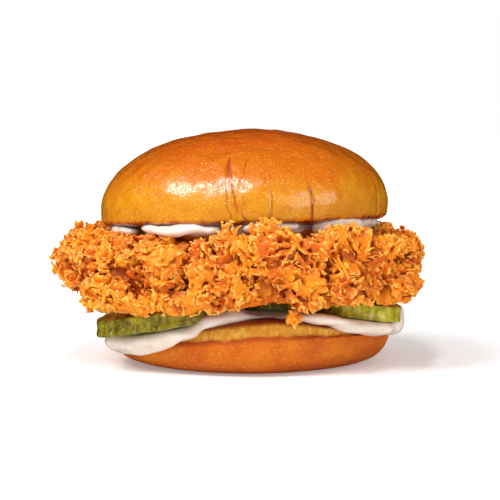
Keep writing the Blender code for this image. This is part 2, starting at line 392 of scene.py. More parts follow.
# x, y, z and half sizes in mm: lobes along the bottom, humps at the ends, fingers against the sauce
CRUST_LUMPS = (
    (-2.5, -55.5, 33.5, 5.8, 4.5, 6.2), (-12.5, -56, 36, 5, 4, 7.5), (58, -33, 33, 9, 8, 7),
    (61.5, -15, 42, 7, 10, 6.8), (-57, -22, 44.5, 8.5, 9, 5.4), (-46, -36, 42.8, 8, 7, 6.2),
    (-61, -14, 38, 5, 7, 4), (-57, -27, 34, 7, 7, 5), (-44, -42, 31.5, 9, 6, 4.5),
    (-46, -39, 27, 9, 7, 3.4), (-34, -46, 27.5, 10, 6, 3.4), (-20, -51, 28.5, 9, 5, 3.4),
    (24, -55.5, 36, 6.5, 4, 7.5), (37.5, -50, 34.5, 6, 5, 7), (12, -56.5, 44, 7, 4, 6),
    (-28, -52, 40, 6.5, 5, 6.5), (-4.2, -56, 50.5, 1.9, 2, 5.6), (10.5, -56, 51.5, 3.2, 2.6, 3.6),
    (15.5, -55.5, 50.5, 2.2, 2.2, 3), (33, -51.5, 51, 2.4, 2.2, 3.8), (37, -50, 50, 1.6, 1.8, 3.6),
    (42.5, -45.5, 50, 5, 4, 3.6), (-15, -55, 47.5, 3, 2.6, 3), (-22.5, -54, 45.5, 3.4, 2.6, 2.4),
    (3, -57, 47, 3.6, 2.4, 3.4), (-36, -48, 45, 4.5, 3, 2.2), (24, -55, 47.5, 3.6, 2.6, 3.2),
    (53, -38, 46, 5, 5, 3.6), (-67.5, -10, 42, 2.4, 2, 1.3), (-67, -14, 39, 2.6, 2, 1.4),
    (-65, -17, 36, 2.6, 2, 1.4), (40, 44, 34, 8, 6, 7), (-12, 55, 36, 9, 5, 7), (-48, 36, 41, 9, 7, 6.5),
    (18, 55, 45, 6, 4, 5), (61, 22, 36, 7, 8, 7), (-61, 14, 42.5, 7, 9, 6),
)


def pick(count, places, rng, volume, field):
    """Places drawn from a surface, and the way out at each."""
    chosen = places[rng.integers(0, len(places), count)].astype(float)
    return chosen, slopes(volume, field, chosen)


def broad_crust(volume, base):
    """The crust's large shape: swellings, cut shoulders, lobes, and the hollow over the middle pickle."""
    near = np.abs(base) < 5.5 * MM
    points = volume.points(near)
    free = crust_freedom(points)
    warp = noise_vectors(points, 11.0 * MM, 1, 2, 3) * (2.6 * MM) * free[:, None]
    swell = 2.5 * MM * noise(points, 12.5 * MM, 4) - 1.9 * MM
    volume.field = base.copy()
    volume.field[near] = volume.sample(base, points + warp) - swell * free
    cells = volume.points()
    outside = (crust_freedom(cells) > 0.05).reshape(volume.shape)
    level_off = 0.8 * MM * noise(cells * (1.0, 1.0, 0.0), 12.0 * MM, 6)
    x, _, z = cells.T
    flat_top = z - (CRUST_TOP + level_off)
    left_slope = LEFT_SLOPE_OUT_Z * (z - LEFT_SLOPE_Z) + LEFT_SLOPE_OUT_X * (x - LEFT_SLOPE_X)
    for cut in (flat_top, left_slope):
        cut = cut.reshape(volume.shape).astype(np.float32)
        volume.field = np.where(outside, -joined(-volume.field, -cut, 3.0 * MM), volume.field)
    for x, y, z, *halves in CRUST_LUMPS:
        stamp_lump(volume, mm(x, y, z), mm(*halves), 2.2 * MM)
    belly = (np.linalg.norm((cells - BELLY_MIDDLE) / BELLY_HALVES, axis=-1) - 1.0) * BELLY_HALVES[2]
    volume.field = -joined(-volume.field, belly.reshape(volume.shape).astype(np.float32), 2.0 * MM)


def carve_and_flake(volume, rng):
    """Hollows between the flakes, then flakes that lie nearly flat."""
    anchors = volume.points(np.abs(volume.field) < 0.3 * volume.cell)
    anchors = anchors[crust_freedom(anchors) > 0.55]
    smooth = volume.field.copy()
    for count, smallest, largest in HOLLOWS:
        for place, out in zip(*pick(count, anchors, rng, volume, smooth)):
            centre = place + out * rng.uniform(0.2, 1.0) * MM
            carve_ball(volume, centre, rng.uniform(smallest, largest) * MM, 0.8 * MM)
    for count, smallest, largest, steepest in THICK_FLAKES:
        for place, out in zip(*pick(count, anchors, rng, volume, smooth)):
            wander = rng.normal(size=3) + (-0.2, 0.0, 0.5)
            tangent = unit(wander - out * (wander @ out))
            lift = math.radians(rng.uniform(-4.0, steepest))
            along = math.cos(lift) * tangent + math.sin(lift) * out
            size, thick = rng.uniform(smallest, largest) * MM, rng.uniform(0.9, 1.3) * MM
            curl, ruffle = rng.uniform(-0.25, 0.35), rng.uniform(0.3, 0.9) * MM
            stamp_flake(volume, place - out * 0.6 * MM, out, along, size, thick, curl, ruffle, rng)
    volume.field = np.maximum(volume.field, smooth - CRUST_REACH)


def roughen(volume):
    """Overlapping scales and grain, faint on the pressed faces."""
    near = np.abs(volume.field) < 2.6 * MM
    points = volume.points(near)
    bent = points + noise_vectors(points, 4.0 * MM, 14, 15, 16) * (1.1 * MM)
    relief = 1.5 * MM * (terraces(bent, 9.0 * MM, 2.2, 17) - 0.5)
    relief += 0.9 * MM * (terraces(bent, 4.6 * MM, 1.7, 18) - 0.5)
    rough = 0.35 + 0.65 * ramp(noise(points, 10.0 * MM, 24), -0.35, 0.35)
    relief += rough * 0.7 * MM * (0.32 - np.abs(noise(bent, 2.5 * MM, 23)))
    relief += rough * 0.28 * MM * noise(points, 1.3 * MM, 22)
    volume.field[near] -= relief * (0.2 + 0.8 * crust_freedom(points))


def keep_clear(volume, gap, *nodes):
    """Cut the parts of a field that come closer than gap to CAD nodes."""
    for name in nodes:
        volume.field = np.maximum(volume.field, gap - solid_field(volume, name, 3.0 * MM))


# an icosahedron, the form of one popped grain
GOLD = (1.0 + math.sqrt(5.0)) / 2.0
ICO_POINTS = np.array([
    (-1, GOLD, 0), (1, GOLD, 0), (-1, -GOLD, 0), (1, -GOLD, 0), (0, -1, GOLD), (0, 1, GOLD),
    (0, -1, -GOLD), (0, 1, -GOLD), (GOLD, 0, -1), (GOLD, 0, 1), (-GOLD, 0, -1), (-GOLD, 0, 1),
]) / math.hypot(1.0, GOLD)
ICO_FACES = np.array([
    (0, 11, 5), (0, 5, 1), (0, 1, 7), (0, 7, 10), (0, 10, 11), (1, 5, 9), (5, 11, 4), (11, 10, 2), (10, 7, 6),
    (7, 1, 8), (3, 9, 4), (3, 4, 2), (3, 2, 6), (3, 6, 8), (3, 8, 9), (4, 9, 5), (2, 4, 11), (6, 2, 10),
    (8, 6, 7), (9, 8, 1),
])


# x, z and reach in mm of the places that the photo shows full of popped grains, and of one lobe without any
POPPED = ((-55.0, 47.0, 14.0), (62.0, 46.0, 12.0), (-2.5, 35.0, 8.0), (-14.0, 48.0, 5.0))
SMOOTH_LOBE_X, SMOOTH_LOBE_Z, SMOOTH_LOBE_REACH = 59.0 * MM, 33.0 * MM, 11.0 * MM


def popcorn_share(points):
    """Where the crust is made of small popped grains, from 0 to 1."""
    x, _, z = points.T
    share = ramp(noise(points, 13.0 * MM, 8), 0.10, 0.55)
    for cx, cz, reach in POPPED:
        share = np.maximum(share, ramp(np.hypot(x - cx * MM, z - cz * MM), reach * MM, 0.5 * reach * MM))
    from_lobe = np.hypot(x - SMOOTH_LOBE_X, z - SMOOTH_LOBE_Z)
    return share * ramp(from_lobe, SMOOTH_LOBE_REACH - 4.0 * MM, SMOOTH_LOBE_REACH)


def make_grains(volume, places, rng):
    """Popped grains that stand on the crust, as one mesh."""
    count = 3000
    places = places[rng.random(len(places)) < popcorn_share(places)]
    place, out = pick(count, places, rng, volume, volume.field)
    radius = rng.uniform(0.35, 0.95, count) ** 1.2 * MM
    jitter = 1.0 + rng.uniform(-0.28, 0.28, (count, 12, 1))
    stretch = rng.uniform(0.7, 1.3, (count, 1, 3))
    middle = place + out * radius[:, None] * 0.25
    points = middle[:, None] + ICO_POINTS * jitter * stretch * radius[:, None, None]
    faces = ICO_FACES[None] + 12 * np.arange(count)[:, None, None]
    grains = new_object("crust_grains", points.reshape(-1, 3), faces.reshape(-1, 3).tolist())
    return grains, np.repeat(rng.uniform(0.0, 0.8, count), 12)


def make_flakes(volume, places, rng):
    """Thin, crinkled flakes that lie on the crust with their edges lifted, as one mesh."""
    count, rows, columns = (900), 6, 7
    root, out = pick(count, places, rng, volume, volume.field)
    wander = rng.normal(size=(count, 3)) + (0.0, 0.0, 0.7)
    along = unit(wander - out * np.sum(wander * out, axis=1, keepdims=True))
    side = np.cross(out, along)
    u, v = np.meshgrid(np.linspace(0.0, 1.0, rows), np.linspace(-1.0, 1.0, columns), indexing="ij")

    def each(low, high):
        return rng.uniform(low, high, (count, 1, 1))

    size, wide = each(1.2, 3.3) * MM, each(0.42, 0.80)
    tip = 1.0 - 0.35 * v ** 2 + rng.uniform(-0.14, 0.14, (count, 1, columns))
    spread = wide * (0.70 + 0.45 * np.sin(math.pi * (0.15 + 0.70 * u)))
    spread = spread + rng.uniform(-0.07, 0.07, (count, rows, 1))
    rise = each(0.0, 0.34) * u + each(-0.10, 0.48) * u ** 2
    rise = rise + each(0.04, 0.14) * np.sin(v * each(2.0, 5.0) + each(0.0, 6.3)) * (0.3 + u)
    rise = rise + each(0.0, 0.3) * v ** 2 * u + rng.uniform(-0.05, 0.05, (count, rows, columns)) - 0.10
    middle = root[:, None, None] + along[:, None, None] * (size * (u * tip - 0.25))[..., None]
    middle = middle + side[:, None, None] * (size * v * spread)[..., None]
    middle = middle + out[:, None, None] * (size * rise)[..., None]
    rim = np.maximum(np.abs(v), u)
    half = 0.28 * MM * (1.0 - 0.60 * rim ** 3)
    normal = unit(out[:, None, None] - along[:, None, None] * (each(0.2, 0.8) * u)[..., None])
    points = np.stack([middle + normal * half[..., None], middle - normal * half[..., None]], 1)
    grid = np.arange(rows * columns).reshape(rows, columns)
    cells = np.stack([grid[:-1, :-1], grid[1:, :-1], grid[1:, 1:], grid[:-1, 1:]], -1).reshape(-1, 4)
    loop = np.concatenate([grid[0, :-1], grid[:-1, -1], grid[-1, :0:-1], grid[:0:-1, 0]])
    after = np.roll(loop, -1)
    under = rows * columns
    wall = np.stack([loop, after, after + under, loop + under], -1)
    faces = np.concatenate([cells, cells[:, ::-1] + under, wall])
    faces = faces[None] + 2 * under * np.arange(count)[:, None, None]
    flakes = new_object("crust_flakes", points.reshape(-1, 3), faces.reshape(-1, 4).tolist())
    # edge lightens each flake towards its rim: partly paler thin crust, partly painted light
    edge = np.broadcast_to(1.0 * rim ** 2 - 0.30, (count, 2, rows, columns)).reshape(-1)
    return flakes, edge


# beyond a distance from the middle, along X and Y, the crust keeps only a share of what stands past it
CRUST_PRESS = ((66.0 * MM, 0.78), (54.0 * MM, 0.75))


def press_ends(piece, points):
    """Draw in what stands far out, so that the crust keeps to the fillet's length and depth."""
    for axis, (start, share) in enumerate(CRUST_PRESS):
        over = np.maximum(np.abs(points[:, axis]) - start, 0.0)
        points[:, axis] -= np.sign(points[:, axis]) * over * (1.0 - share)
    piece.data.vertices.foreach_set("co", points.reshape(-1))
    piece.data.update()


def make_fried_crust():
    """The fillet's body, its loose-edged flakes and its popped grains."""
    rng = np.random.default_rng(5)
    cell = 0.5 * MM
    volume = Volume(np.array(FILLET_LOW) - CRUST_MARGIN, np.array(FILLET_HIGH) + CRUST_MARGIN, cell)
    base = solid_field(volume, "chicken_fillet", 7.0 * MM)
    broad_crust(volume, blurred(base, int(1.2 * MM / cell), 2))
    carve_and_flake(volume, rng)
    roughen(volume)
    keep_clear(volume, 0.25 * MM, "bun_top", "pickle_left", "pickle_middle", "pickle_right")
    inside = filled(volume)
    fine_fill = blurred(inside, max(1, int(0.8 * MM / cell)))
    broad_fill = blurred(inside, int(2.2 * MM / cell), 2)
    valley_fill = blurred(inside, int(5.0 * MM / cell), 2)

    fillet = surface_object("fried_fillet", volume)
    thin_out(fillet, 190000)

    places = volume.points(np.abs(volume.field) < 0.5 * cell)
    places = places[(crust_freedom(places) > 0.7) & (places[:, 2] > 26.0 * MM)]
    broad_at = volume.sample(broad_fill, places)
    frilly = 1.0 - 0.55 * ramp(places[:, 0], -24.0 * MM, 0.0)
    patchy = 0.12 + 0.88 * ramp(noise(places, 9.0 * MM, 9), -0.15, 0.35)
    crumpled = rng.random(len(places)) < frilly * patchy
    flakes, flake_edge = make_flakes(volume, places[(broad_at < 0.62) & crumpled], rng)
    grains, grain_edge = make_grains(volume, places[broad_at < 0.72], rng)
    body_points = vertex_points(fillet)
    # edge is high where the crust stands out and lightens its colour there: partly paler thin crust, partly
    # painted light
    body_edge = np.clip((0.5 - volume.sample(fine_fill, body_points)) * 3.2, -1.0, 1.0)
    # the two depth values darken the crust's colour in its hollows and valleys: painted shade
    depths = (("hollow", broad_fill, 0.42, 2.6), ("valley", valley_fill, 0.38, 3.0))
    for piece, edge in ((fillet, body_edge), (flakes, flake_edge), (grains, grain_edge)):
        points = vertex_points(piece)
        add_value(piece, "edge", edge)
        for name, fill, middle, gain in depths:
            add_value(piece, name, np.clip((volume.sample(fill, points) - middle) * gain, -1.0, 1.0))
        press_ends(piece, points)
    return fillet, flakes, grains


# ---- turned layers
def lathe(name, profile, columns, place):
    """Turn rows of (radius, level), pole to pole; place(angle, radius, level) gives the points."""
    counts = [1] + [columns] * (len(profile) - 2) + [1]
    radius, level = np.repeat(profile, counts, axis=0).T
    angle = np.concatenate([np.arange(count) for count in counts]) * (2.0 * math.pi / columns)
    ring = np.arange(1, len(angle) - 1).reshape(-1, columns)
    after = np.roll(ring, -1, axis=1)
    top = np.stack([np.zeros(columns, int), ring[0], after[0]], -1)
    sides = np.stack([ring[:-1], ring[1:], after[1:], after[:-1]], -1).reshape(-1, 4)
    base = np.stack([ring[-1], np.full(columns, len(angle) - 1), after[-1]], -1)
    faces = top.tolist() + sides.tolist() + base.tolist()
    obj = new_object(name, place(angle, radius, level), faces)
    return obj, angle, radius, level


def along_normals(obj, amount):
    """Move each vertex along its normal."""
    normals = np.empty(len(obj.data.vertices) * 3, np.float32)
    obj.data.vertices.foreach_get("normal", normals)
    points = vertex_points(obj) + normals.reshape(-1, 3) * np.asarray(amount, np.float32)[:, None]
    obj.data.vertices.foreach_set("co", points.reshape(-1))
    obj.data.update()


def superellipse(rows, power):
    """From the middle of a face (0, 1) out to the edge (1, 0)."""
    a = np.linspace(0.0, math.pi / 2.0, rows + 1)
    edge = np.stack([np.sin(a) ** (2.0 / power), np.cos(a) ** (2.0 / power)], -1)
    edge[-1] = (1.0, 0.0)
    return edge


def crown_face(x, y):
    """Height of the crown's cut face."""
    return CROWN_FACE + CROWN_ROLL * (x - CROWN_X) + CROWN_PITCH * (y - CROWN_Y)


# azimuth in degrees at level 0 and its change by level 1, lowest and highest level, depth and half width (mm)
CREASES = (
    (264.2, -3, -0.7, 0.62, 0.42, 0.50),
    (267.6, -8, -0.9, 0.60, 0.45, 0.60),
    (266, 9, 0.22, 0.70, 0.30, 0.70),
    (259, 6, 0.25, 0.66, 0.26, 0.80),
    (250, -5, 0.22, 0.60, 0.22, 0.90),
    (280.6, 0.5, -0.9, 0.26, 0.42, 0.50),
    (297.6, -1, -0.6, 0.32, 0.85, 0.42),
    (223.5, 0, -1, 0.05, 0.40, 0.50),
    (243, 3, -1, -0.1, 0.22, 0.70),
    (338, 2, -1, 0.35, 0.40, 0.80),
    (25, -3, -1, 0.30, 0.45, 0.70),
    (71, 2, -1, 0.10, 0.35, 0.60),
    (104, 5, -1, 0.45, 0.50, 0.80),
    (152, -2, -1, 0.15, 0.40, 0.60),
    (187, 4, -1, 0.40, 0.35, 0.90),
)


def crease_depth(angle, level, points):
    """Grooves that run up the side of the crown, and how deep each point lies in one."""
    depth = np.zeros(len(angle))
    sway = bumps(points * (0.25, 0.25, 1.0), (0.9, 8.0, 31))
    for azimuth, slant, low, high, deep, half_width in CREASES:
        away = (angle - np.radians(azimuth + slant * level) + math.pi) % (2.0 * math.pi) - math.pi
        across = (away * CROWN_RADIUS + sway) / (half_width * MM)
        middle, half = (low + high) / 2.0, (high - low) / 2.0
        length = 1.0 - ramp(np.abs(level - middle), half - 0.15, half + 0.1)
        depth += deep * MM * np.exp(-across ** 2) * length
    return depth


def make_crown():
    """The bun's glossy upper half."""
    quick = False
    dome = superellipse(70 if quick else 105, CROWN_DOME_POWER)
    skirt = superellipse(26 if quick else 40, CROWN_SKIRT_POWER)[-2::-1] * (1.0, -1.0)

    def place(angle, radius, level):
        reach = CROWN_RADIUS * radius
        reach = reach * (1.0 + 0.008 * np.cos(2.0 * angle + 0.4) + 0.006 * np.cos(5.0 * angle))
        x = CROWN_X + reach * np.cos(angle)
        y = CROWN_Y + reach * np.sin(angle)
        up = np.maximum(level, 0.0)
        tilt = (crown_face(x, y) - CROWN_FACE) * (1.0 - CROWN_LEVELLING * up)
        side = CROWN_SIDE * (1.0 + np.minimum(level, 0.0))
        droop = HEM_DROOP * ramp(radius, 0.60, 0.95) * (1.0 - ramp(level, -0.5, 0.45))
        return np.stack([x + CROWN_LEAN * up ** 2, y, CROWN_FACE + tilt + side + CROWN_DOME * up - droop], -1)

    profile = np.concatenate([dome, skirt])
    crown, angle, radius, level = lathe("crown_bun", profile, 300 if quick else 480, place)
    points = vertex_points(crown)
    swell = bumps(points, (0.75, 30.0, 41), (0.28, 11.0, 42)) * (0.35 + 0.65 * ramp(level, -0.6, 0.3))
    dimple = bumps(points, (0.24, 5.5, 43), (0.07, 2.2, 44))
    hem = bumps(points * (1.0, 1.0, 0.25), (0.35, 7.0, 45))
    hem = hem * ramp(-level, 0.15, 0.8) * ramp(radius, 0.55, 0.9)
    groove = crease_depth(angle, level, points)
    along_normals(crown, swell + dimple + hem - groove)
    add_value(crown, "level", level)
    # the groove depth, kept for the material, darkens the crown's colour in its creases: painted shade
    add_value(crown, "crease", groove / (0.6 * MM))
    add_value(crown, "crumb", 1.0 - ramp(level, -0.995, -0.90))
    return crown


# share of the outline's radius, and level: 1 the cut face, 0 the widest
HEEL_ROWS = np.array([
    (0.0, 1.0), (0.30, 1.0), (0.60, 1.0), (0.76, 1.0), (0.87, 0.99), (0.93, 0.95), (0.956, 0.84),
    (0.964, 0.70), (0.966, 0.55), (0.972, 0.49), (0.986, 0.475), (0.995, 0.40), (1.0, 0.24), (1.0, 0.0),
])


def heel_outline(angle):
    """The heel's radius round its axis."""
    return HEEL_RADIUS * (0.988 + 0.012 * np.cos(4.0 * angle) + 0.010 * np.cos(3.0 * angle + 0.7))


def heel_face(x):
    """Height of the heel's cut face, which sags to both sides."""
    left_sag = HEEL_LEFT_SAG * ramp(-x, -12.0 * MM, 60.0 * MM)
    return HEEL_TOP - left_sag - HEEL_RIGHT_SAG * ramp(x, 12.0 * MM, 56.0 * MM)


def make_heel():
    """The bun's lower half, with a rim of bread above its crust."""
    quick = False
    steps = np.linspace(0.0, 1.0, 90 if quick else 170)
    lengths = np.hypot(*np.diff(HEEL_ROWS * (4.0, 1.0), axis=0).T)
    span = np.concatenate([[0.0], np.cumsum(lengths)])
    upper = np.stack([np.interp(steps, span / span[-1], HEEL_ROWS[:, i]) for i in (0, 1)], -1)
    a = np.linspace(0.0, math.pi / 2.0, 40)[1:]
    curl = np.stack([0.74 + 0.26 * np.cos(a), -np.sin(a)], -1)
    profile = np.concatenate([upper, curl, [(0.55, -1.0), (0.3, -1.0), (0.0, -1.0)]])

    def place(angle, radius, level):
        reach = radius * heel_outline(angle)
        x = HEEL_X + reach * np.cos(angle)
        nose = HEEL_NOSE + HEEL_NOSE_LEAN * np.cos(angle)
        rise = np.where(level > 0.0, heel_face(x) - nose, nose)
        return np.stack([x, reach * np.sin(angle), nose + level * rise], -1)

    heel, _, radius, level = lathe("heel_bun", profile, 200 if quick else 360, place)
    points = vertex_points(heel)
    wander = 0.07 * noise(points, 9.0 * MM, 58) + 0.03 * noise(points, 3.0 * MM, 59)
    crumb = ramp(level + wander, 0.46, 0.53)
    off_base = ramp(points[:, 2], 0.0, 3.0 * MM)
    swell = bumps(points, (0.55, 24.0, 51), (0.22, 9.0, 52))
    skin = bumps(points, (0.16, 1.5, 53), (0.09, 3.5, 54))
    torn = bumps(points, (0.30, 2.6, 56)) + bumps(points * (1.0, 1.0, 0.35), (0.20, 1.3, 55))
    lip = bumps(points * (1.0, 1.0, 0.1), (0.5, 6.0, 57)) * np.exp(-((level - 0.48) / 0.12) ** 2)
    rough = skin * (1.0 - crumb) + torn * crumb * ramp(radius, 0.80, 0.93) + lip * (radius > 0.9)
    along_normals(heel, off_base * (swell + rough))
    add_value(heel, "level", level)
    add_value(heel, "crumb", crumb)
    add_value(heel, "toast", ramp(level, 0.80, 0.97) * crumb)
    return heel


# ---- pickles
# node, centre, half sizes, height of the underside, its slope along X, thickness (mm), seed
PICKLES = (
    ("pickle_left", (-29.4, -27.5), (25.0, 22.5), 16.3, 0.160, 6.7, 1.0),
    ("pickle_middle", (12.0, -22.5), (16.0, 16.0), 22.6, 0.0, 4.5, 0.5),
    ("pickle_right", (45.2, -20.5), (16.5, 16.5), 18.8, -0.105, 6.1, 1.4),
)


def make_pickle(node, centre, halves, underside, slope, thick, seed):
    """A thick slice with a ribbed rim."""
    rows = 66
    inner = np.stack([np.linspace(0.0, 0.93, rows // 3), np.ones(rows // 3)], -1)
    a = np.linspace(0.0, math.pi / 2.0, 14)[1:]
    corner = np.stack([0.93 + 0.07 * np.sin(a), 0.78 + 0.22 * np.cos(a)], -1)
    wall = np.stack([np.ones(rows // 3), np.linspace(0.78, -0.78, rows // 3)], -1)[1:-1]
    upper = np.concatenate([inner, corner])
    profile = np.concatenate([upper, wall, upper[::-1] * (1.0, -1.0)])

    def place(angle, radius, level):
        reach = radius * (0.985 - 0.015 * np.cos(5.0 * angle + underside))
        x = centre[0] + halves[0] * reach * np.cos(angle)
        y = centre[1] + halves[1] * reach * np.sin(angle)
        low = underside + slope * (x - centre[0]) + 0.8 * (1.0 - ((x - centre[0]) / halves[0]) ** 2)
        return np.stack([x, y, low + thick * (level + 1.0) / 2.0], -1) * MM

    pickle, angle, radius, level = lathe(node + "_slice", profile, 220, place)
    points = vertex_points(pickle)
    ring = np.stack([np.cos(angle), np.sin(angle), np.zeros(len(angle))], -1) * halves[0] * MM
    rim = ramp(radius, 0.90, 0.99)
    ribs = bumps(ring + points * 0.35, (0.12, 2.4, seed)) + bumps(ring, (0.35, 6.5, seed + 1))
    sag = bumps(points, (0.18, 6.0, seed + 2), (0.06, 1.5, seed + 3))
    pinch = -0.35 * MM * np.exp(-(level / 0.35) ** 2)
    along_normals(pickle, (ribs + pinch) * rim + sag)
    add_value(pickle, "skin", rim * ramp(radius, 0.96, 1.0))
    return pickle


# ---- sauces
# azimuth, distance from the crown's axis, height from its face; half sizes along, out and up (mm)
UPPER_PATS = (
    (207, 51.5, -1.4, 6.5, 3.2, 2.1), (215, 51, -2.2, 3.5, 2.6, 1.6),
    (230, 51.5, -1.2, 6, 3, 1.9), (239, 51.8, -2, 7.5, 3.4, 2.4), (248, 51.8, -1, 6, 3.2, 2.1),
    (256, 50.5, -1.6, 4, 2.6, 1.6),
    (277, 51.5, -1.4, 6.5, 3, 2.6), (288, 50.5, -1, 6, 2.8, 1.8),
    (307, 51, -2.4, 6, 3.4, 3.4), (316, 51.5, -0.8, 8, 3.6, 3.6), (325, 51, -1.8, 5.5, 3.4, 3),
    (335, 50, -1.2, 5, 3, 2.2),
    (352, 49.5, -1.6, 7, 3, 2), (22, 50, -1.4, 8, 3, 1.9), (58, 49, -1.8, 9, 3.2, 2.2),
    (96, 50, -1.5, 7, 3, 1.9), (126, 49, -1.6, 8, 3, 2.1), (168, 49.8, -1.5, 8, 3.2, 1.9),
)


def make_upper_sauce():
    """A thin layer under the crown, with pats that come out at its edge."""
    cell = 0.5 * MM
    volume = Volume(mm(-58.0, -58.0, 44.0), mm(60.0, 60.0, 62.0), cell)
    x, y, z = volume.points().T
    angle = np.arctan2(y - CROWN_Y, x - CROWN_X)
    round_it = np.stack([np.cos(angle), np.sin(angle), 0.0 * angle], -1)
    rim = 48.0 * MM + 3.4 * MM * noise(round_it, 0.35, 61) + 1.2 * MM * noise(round_it, 0.12, 62)
    radial = np.hypot(x - CROWN_X, y - CROWN_Y) - rim
    flat = np.abs(z - (crown_face(x, y) - 1.6 * MM)) - 1.9 * MM
    volume.field = (within_both(radial, flat) - 0.4 * MM).reshape(volume.shape).astype(np.float32)
    for azimuth, far, lift, *halves in UPPER_PATS:
        turn = math.radians(azimuth)
        px, py = CROWN_X + far * MM * math.cos(turn), CROWN_Y + far * MM * math.sin(turn)
        centre = np.array([px, py, crown_face(px, py) + lift * MM])
        stamp_lump(volume, centre, mm(*halves), 1.6 * MM, turn + math.pi / 2.0)
    near = np.abs(volume.field) < 2.0 * MM
    volume.field[near] -= bumps(volume.points(near), (0.45, 5.0, 63))
    volume.field = np.maximum(volume.field, -0.1 * MM - solid_field(volume, "bun_top", 3.0 * MM))
    sauce = surface_object("upper_sauce", volume)
    smooth_surface(sauce, 4)
    thin_out(sauce, 50000)
    return sauce


# x, y, z of the middle, half sizes along X, Y and Z (mm)
LOWER_PATS = (
    (-45.5, -20, 10.8, 5, 7.5, 3.5), (-44, -28, 10.6, 6.5, 7, 3.8), (-37.5, -35, 11, 7.5, 5.5, 3.5),
    (-29.5, -41, 12.8, 7.5, 4.8, 2.8), (-21, -44.8, 15.4, 6, 3.8, 1.8),
    (-3, -40, 22.6, 5.5, 4.5, 2.6), (-9, -43, 20.8, 5, 4, 1.5),
    (24, -43, 21.6, 6.5, 3.5, 1.5), (32, -40.5, 20, 6, 3.8, 1.7),
    (43, -36.5, 17, 7.5, 4.2, 2.5), (51.5, -31, 15.8, 6.5, 4.8, 2.7), (58, -23, 16.2, 3.6, 5, 3.4),
    (61.2, -17.5, 19, 1.8, 4.4, 4.2),
)


# a ball cut out of the front, so that the middle pickle shows
DIP_MIDDLE, DIP_RADIUS = mm(12.0, -43.0, 41.4), 20.0 * MM


def make_lower_sauce():
    """The layer on the heel, up to the pickles, with pats along its front edge."""
    cell = 0.5 * MM
    volume = Volume(mm(-60.0, -56.0, 2.0), mm(68.0, 56.0, 30.0), cell)
    volume.field = blurred(solid_field(volume, "mayo_bottom", 6.0 * MM) - 0.5 * MM, 1)
    for x, y, z, *halves in LOWER_PATS:
        stamp_lump(volume, mm(x, y, z), mm(*halves), 3.0 * MM)
    carve_ball(volume, DIP_MIDDLE, DIP_RADIUS, 1.5 * MM)
    near = np.abs(volume.field) < 2.5 * MM
    volume.field[near] -= bumps(volume.points(near), (0.28, 9.0, 64))
    sauce = surface_object("lower_sauce", volume)
    smooth_surface(sauce, 10)
    thin_out(sauce, 50000)
    return sauce


def make_crumb():
    """A loose scrap of crust that lies on the heel's rim."""
    rng = np.random.default_rng(9)
    middle = mm(19.6, -50.2, 22.2)
    volume = Volume(middle - 6.0 * MM, middle + 6.0 * MM, 0.25 * MM)
    stamp_lump(volume, middle, np.full(3, 1.1 * MM), 0.8 * MM)
    for _ in range(9):
        out = unit(rng.normal(size=3))
        along = unit(np.cross(out, rng.normal(size=3)))
        size, curl = rng.uniform(1.8, 2.8) * MM, rng.uniform(-0.4, 0.4)
        stamp_flake(volume, middle + out * 0.5 * MM, out, along, size, 1.1 * MM, curl, 0.4 * MM, rng)
    near = np.abs(volume.field) < 1.5 * MM
    volume.field[near] -= bumps(volume.points(near), (0.35, 1.7, 71))
    crumb = surface_object("rim_crumb", volume)
    # The crumb's edge value lightens it like the crust, partly as painted light. The fixed hollow and valley
    # values set its share of the crust's painted shade.
    fine = volume.sample(blurred(filled(volume), 3), vertex_points(crumb))
    add_value(crumb, "edge", np.clip((0.5 - fine) * 3.2, -1.0, 1.0))
    for name, value in (("hollow", 0.1), ("valley", -0.2)):
        add_value(crumb, name, np.full(len(fine), value))
    return crumb


# ---- materials
def linear(*srgb):
    """A colour given as sRGB 0 to 255."""
    out = []
    for value in srgb:
        v = value / 255.0
        out.append(v / 12.92 if v <= 0.04045 else ((v + 0.055) / 1.055) ** 2.4)
    return (*out, 1.0)


def put(node, *settings):
    """Set a node's inputs, each given as name and value."""
    for name, value in settings:
        node.inputs[name].default_value = value


